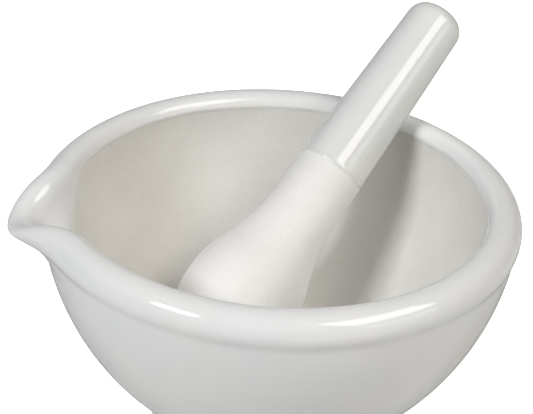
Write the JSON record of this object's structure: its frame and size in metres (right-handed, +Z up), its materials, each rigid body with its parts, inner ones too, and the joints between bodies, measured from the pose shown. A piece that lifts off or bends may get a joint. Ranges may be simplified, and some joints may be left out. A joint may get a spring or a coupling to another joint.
{
  "type": "mortar and pestle",
  "caption": "Round porcelain laboratory mortar with a pouring spout and bare grinding bowl, with its flared pestle leaning in it.",
  "frame": {"origin": "centre of the mortar's foot, on the flat ring that it stands on", "axes": "+Z is up along the mortar's axis, and the pouring spout points along -X"},
  "size_m": [0.1274, 0.12, 0.0968],
  "materials": {
    "glazed_porcelain": "clear gloss glaze over white porcelain",
    "bare_porcelain": "bare matte porcelain, very fine grain"
  },
  "bodies": {
    "mortar": {"mortar": "glazed_porcelain"},
    "pestle": {"pestle": "bare_porcelain"}
  },
  "joints": [
    {"name": "pestle_lift", "type": "slide", "parent": "mortar", "child": "pestle", "axis": [0, 0, 1], "range_m": [0, 0.08]}
  ]
}
